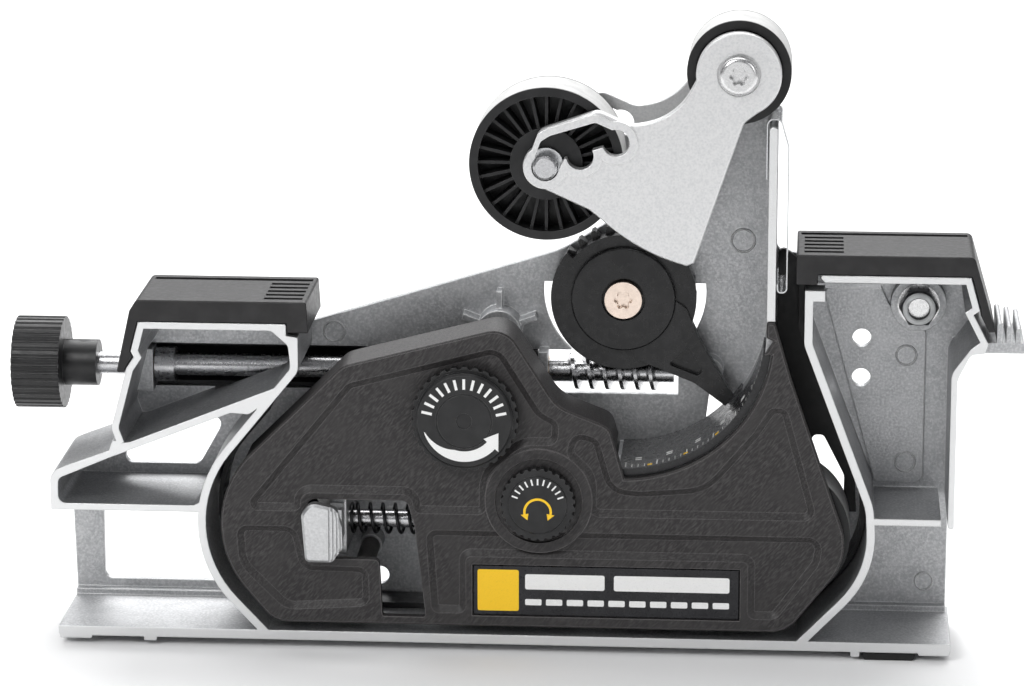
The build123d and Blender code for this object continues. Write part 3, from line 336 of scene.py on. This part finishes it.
MATERIALS = {
    "cast": cast_finish(),
    "arm": arm_finish(),
    "cover": cover_finish(),
    "pad": plastic("pad_plastic", (0.012, 0.0115, 0.012), 0.46, 0.30, 0.10),
    "black": plastic("black_plastic", (0.008, 0.008, 0.0085), 0.40),
    "gear": plastic("gear_plastic", (0.007, 0.007, 0.0075), 0.34, 0.30, 0.10, 0.30),
    "knob": plastic("knob_plastic", (0.010, 0.010, 0.0105), 0.40, 0.25, 0.14, 0.30),
    "foot": rubber("foot_rubber", (0.018, 0.018, 0.018)),
    "tire": rubber("tire_rubber", (0.58, 0.58, 0.575)),
    "shaft": metal("ground_steel", (0.62, 0.62, 0.63), 0.20, (0.05, 1, 1), 0.5),
    "steel": metal("steel", (0.60, 0.60, 0.61), 0.26),
    "zinc": metal("zinc_plate", (0.76, 0.76, 0.76), 0.24, stain=0.85),
    "spring": metal("spring_steel", (0.66, 0.67, 0.68), 0.18, (1, 1, 12), 0.4),
    "wire": metal("black_wire", (0.050, 0.050, 0.052), 0.36),
    "copper": metal("copper_plate", (0.86, 0.72, 0.62), 0.28, stain=0.86),
    "lever": metal("lever_zinc", (0.66, 0.665, 0.67), 0.38, stain=0.8, size=0.7),
    "bronze": metal("bush_bronze", (0.55, 0.38, 0.20), 0.45),
    "label": plastic("label_film", (0.010, 0.010, 0.012), 0.32, 0.25, 0.10, 0.10),
    "scale": plastic("scale_film", (0.012, 0.012, 0.013), 0.30, 0.25, 0.10, 0.10),
    "nylon": plastic("nylon", (0.62, 0.63, 0.63), 0.45, 0.3, 0.85),
    "white": ink("white_ink", (0.82, 0.82, 0.81)),
    "yellow": ink("yellow_ink", (0.93, 0.57, 0.010)),
}

FINISH_OF = {
    "cast": ["main_frame"],
    "arm": ["swing_arm"],
    "cover": ["front_cover"],
    "pad": ["left_table_pad", "right_table_pad"],
    # belt_shroud and shaft_channel_cover are black parts put in as painted shade, standing in for the deep
    # shadow behind the cover and in the shaft's channel; the roller cores are real black plastic.
    "black": ["belt_shroud", "shaft_channel_cover", "idler_core", "top_pulley_core", "drive_roller_core",
              "tension_roller_core"],
    "gear": ["angle_gear"],
    "knob": ["angle_knob", "tracking_knob", "tighten_knob"],
    "foot": ["left_foot", "right_foot"],
    "tire": ["idler_tire", "top_pulley_tire", "drive_roller_tire", "tension_roller_tire"],
    "shaft": ["worm_shaft", "tension_rod"],
    "steel": ["shaft_collar", "gear_pivot_sleeve", "top_axle_spacers", "drive_bearings", "bearing_retainer",
              "tracking_pivot_pins", "idler_axle", "idler_bearings", "top_pulley_bearings", "tension_axle",
              "tension_roller_bearings", "drive_shaft", "cover_pins", "tracking_screw", "tighten_stud",
              "tighten_washer"],
    "zinc": ["top_axle_bolt", "top_axle_nut", "side_bolt", "side_washer", "channel_screws",
             "retainer_screws", "drive_roller_screw"],
    "spring": ["platen_spring", "idler_clips"],
    "wire": ["tension_spring", "knob_set_screw", "side_nut"],
    "copper": ["gear_pivot_screw"],
    "lever": ["thumb_lever", "tracking_yoke", "tension_bracket"],
    "bronze": ["shaft_bushes"],
    "label": ["label_plate"],
    "scale": ["angle_scale"],
}
for finish, names in FINISH_OF.items():
    for node_name in names:
        for material_slot in NODES[node_name].material_slots:
            material_slot.material = MATERIALS[finish]


# --- pieces -----------------------------------------------------------------------------------------
def polar(centre, radius, angle):
    return centre[0] + radius * cos(radians(angle)), centre[1] + radius * sin(radians(angle))


def new_piece(name, bm, finish, body):
    bmesh.ops.recalc_face_normals(bm, faces=bm.faces)
    mesh = bpy.data.meshes.new(name)
    bm.to_mesh(mesh)
    bm.free()
    mesh.materials.append(MATERIALS[finish])
    piece = bpy.data.objects.new(name, mesh)
    bpy.context.scene.collection.objects.link(piece)
    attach(piece, body)
    return piece


def add_prism(bm, points, front, back, bevel=0.0):
    """A flat shape of (x, z) points made thick between two depths, its front rim bevelled."""
    low = [bm.verts.new(place(x, front, z)) for x, z in points]
    high = [bm.verts.new(place(x, back, z)) for x, z in points]
    top = bm.faces.new(low)
    bm.faces.new(high[::-1])
    count = len(points)
    for i in range(count):
        bm.faces.new((low[i], high[i], high[(i + 1) % count], low[(i + 1) % count]))
    if bevel:
        bmesh.ops.bevel(bm, geom=list(top.edges), offset=bevel * MM, segments=2, affect="EDGES",
                        profile=0.6)


def arc_points(centre, inner, outer, start, end, steps=24, start_inner=None):
    """A band round a centre. start_inner narrows its first end to a point."""
    rim, bore = [], []
    for i in range(steps + 1):
        share = i / steps
        angle = start + (end - start) * share
        rim.append(polar(centre, outer, angle))
        near = inner if start_inner is None else start_inner + (inner - start_inner) * min(1.0, share * 2.2)
        bore.append(polar(centre, near, angle))
    return rim + bore[::-1]


def skin(bm, near, far):
    """Faces between two loops of as many points."""
    for i in range(len(near)):
        k = (i + 1) % len(near)
        bm.faces.new((near[i], far[i], far[k], near[k]))


def add_lathe(bm, centre, profile, steps=48):
    """A closed profile of (radius, depth) points turned about a line that runs front to back."""
    loops = []
    for i in range(steps):
        loop = []
        for radius, depth in profile:
            x, z = polar(centre, radius, 360 * i / steps)
            loop.append(bm.verts.new(place(x, depth, z)))
        loops.append(loop)
    for i, loop in enumerate(loops):
        skin(bm, loop, loops[(i + 1) % steps])


def rectangle(x0, x1, z0, z1, corner=0.0):
    if not corner:
        return [(x0, z0), (x1, z0), (x1, z1), (x0, z1)]
    points = []
    for cx, cz, first in ((x1 - corner, z0 + corner, -90), (x1 - corner, z1 - corner, 0),
                          (x0 + corner, z1 - corner, 90), (x0 + corner, z0 + corner, 180)):
        points += [polar((cx, cz), corner, first + 90 * i / 5) for i in range(6)]
    return points


def radial_bar(centre, inner, outer, angle, width):
    nx, nz = polar((0, 0), width / 2, angle + 90)
    a, b = polar(centre, inner, angle), polar(centre, outer, angle)
    return [(a[0] - nx, a[1] - nz), (b[0] - nx, b[1] - nz), (b[0] + nx, b[1] + nz), (a[0] + nx, a[1] + nz)]


def arrow_head(centre, radius, angle, length, width, direction):
    """A triangle on a circle that points round it."""
    tip = polar(centre, radius, angle + direction * length / radius * 180 / pi)
    return [polar(centre, radius - width / 2, angle), tip, polar(centre, radius + width / 2, angle)]


def tighten_marks():
    front, back = TIGHTEN_FACE - INK, TIGHTEN_FACE + SUNK
    bm = bmesh.new()
    for i in range(13):
        add_prism(bm, radial_bar(TIGHTEN, 12.2, 16.2, 168 - 13 * i, 1.05), front, back)
    add_prism(bm, arc_points(TIGHTEN, 11.6, 15.6, 197, 318, start_inner=15.3), front, back)
    add_prism(bm, arrow_head(TIGHTEN, 13.6, 318, 5.6, 7.4, 1), front, back)
    new_piece("tighten_marks", bm, "white", "tighten_control")


def tracking_marks():
    front, back = TRACKING_FACE - INK, TRACKING_FACE + SUNK
    bm = bmesh.new()
    for i in range(11):
        add_prism(bm, radial_bar(TRACKING, 7.9, 10.3, 160 - 14 * i, 0.62), front, back)
    new_piece("tracking_ticks", bm, "white", "tracking_control")
    bm = bmesh.new()
    centre = (TRACKING[0], TRACKING[1] - 2.6)
    add_prism(bm, arc_points(centre, 4.5, 5.4, -10, 190), front, back)
    add_prism(bm, arrow_head(centre, 4.95, 190, 2.6, 3.0, 1), front, back)
    add_prism(bm, arrow_head(centre, 4.95, -10, 2.6, 3.0, -1), front, back)
    new_piece("tracking_arrow", bm, "yellow", "tracking_control")


def label_marks():
    front, back = LABEL_FACE - INK, LABEL_FACE + SUNK
    x0, z0, z1 = LABEL
    bm = bmesh.new()
    add_prism(bm, rectangle(x0 + 0.6, x0 + 16.2, z0 + 0.6, z1 - 0.6, 0.8), front, back)
    new_piece("label_block", bm, "yellow", "stand")
    bm = bmesh.new()
    for left, right in ((7.0, 37.0), (40.5, 84.0)):
        add_prism(bm, rectangle(left, right, 25.4, 31.4, 0.8), front, back)
    for i in range(10):
        left = 7.0 + 7.86 * i
        add_prism(bm, rectangle(left, left + 6.2, 19.2, 21.6, 0.5), front, back)
    new_piece("label_bars", bm, "white", "stand")


def scale_marks():
    """Graduations on the inside of the arc, under the pointer."""
    bm, dots = bmesh.new(), bmesh.new()

    def patch(target, angle, half_width, front, back):
        corners = []
        for r in (ARC_FACE_R - 0.06, ARC_FACE_R + 0.02):
            for a, d in ((-1, front), (1, front), (1, back), (-1, back)):
                x, z = polar(ARC_CENTRE, r, angle + a * half_width / ARC_FACE_R * 180 / pi)
                corners.append(target.verts.new(place(x, d, z)))
        for face in ((0, 1, 2, 3), (7, 6, 5, 4), (0, 4, 5, 1), (1, 5, 6, 2), (2, 6, 7, 3), (3, 7, 4, 0)):
            target.faces.new([corners[i] for i in face])

    for i in range(31):
        major = i % 5 == 0
        patch(bm, -89.0 + 2.6 * i, 0.22 if major else 0.13, 4.6, 11.0 if major else 8.0)
    for i in range(5):
        patch(bm, -84.0 + 13.0 * i, 1.2, 14.0, 15.2)
        patch(bm, -84.0 + 13.0 * i, 1.2, 16.4, 17.6)
    for angle in (-79.0, -63.4, -48.0):
        patch(dots, angle, 0.9, 5.0, 6.8)
    new_piece("scale_marks", bm, "white", "stand")
    new_piece("scale_dots", dots, "yellow", "stand")


def ejector_rings():
    """The low round witness marks of the die's ejector pins, on the back plate and in the cells."""
    bm = bmesh.new()
    for x, z, depth, radius in WITNESS_MARKS:
        bead = ((-0.45, 0.0), (-0.2, 0.22), (0.2, 0.22), (0.45, 0.0))
        add_lathe(bm, (x, z), [(radius + out, depth - up) for out, up in bead], steps=40)
    new_piece("ejector_marks", bm, "cast", "stand")


def nut_insert():
    """The pale nylon ring in the end of the lock nut."""
    bm = bmesh.new()
    profile = ((4.1, 31.5), (4.4, 31.0), (5.0, 30.75), (5.7, 30.9), (6.2, 31.3), (6.2, 31.5))
    add_lathe(bm, SIDE_BOLT, profile)
    new_piece("nut_insert", bm, "nylon", "stand")


def tension_spring_coil():
    """The coil round the tension rod, with its end turns closed up."""
    bm = bmesh.new()
    turns, per_turn, sides = 7.0, 40, 12
    start, end = SPRING_X[0] + SPRING_WIRE_R, SPRING_X[1] - SPRING_WIRE_R
    steps = int(turns * per_turn)
    loops = []
    for i in range(steps + 1):
        turn = turns * i / steps
        closed = 2 * SPRING_WIRE_R + 0.06
        middle = min(max((turn - 1) / (turns - 2), 0.0), 1.0)
        x = start + closed * (min(turn, 1.0) + max(turn - turns + 1, 0.0))
        x += (end - start - 2 * closed) * middle
        loop = []
        for j in range(sides):
            across, along = polar((SPRING_R, 0.0), SPRING_WIRE_R, 360 * j / sides)
            angle = 2 * pi * turn
            loop.append(bm.verts.new(place(x + along, SPRING_DEPTH + across * cos(angle),
                                           SPRING_Z + across * sin(angle))))
        loops.append(loop)
    for near, far in zip(loops, loops[1:]):
        skin(bm, near, far)
    bm.faces.new(loops[0][::-1])
    bm.faces.new(loops[-1])
    for face in bm.faces:
        face.smooth = len(face.verts) == 4
    coil = new_piece("tension_spring_coil", bm, "wire", "yoke")
    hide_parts("tension_spring")
    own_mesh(coil)


tighten_marks()
tracking_marks()
label_marks()
scale_marks()
ejector_rings()
nut_insert()
tension_spring_coil()
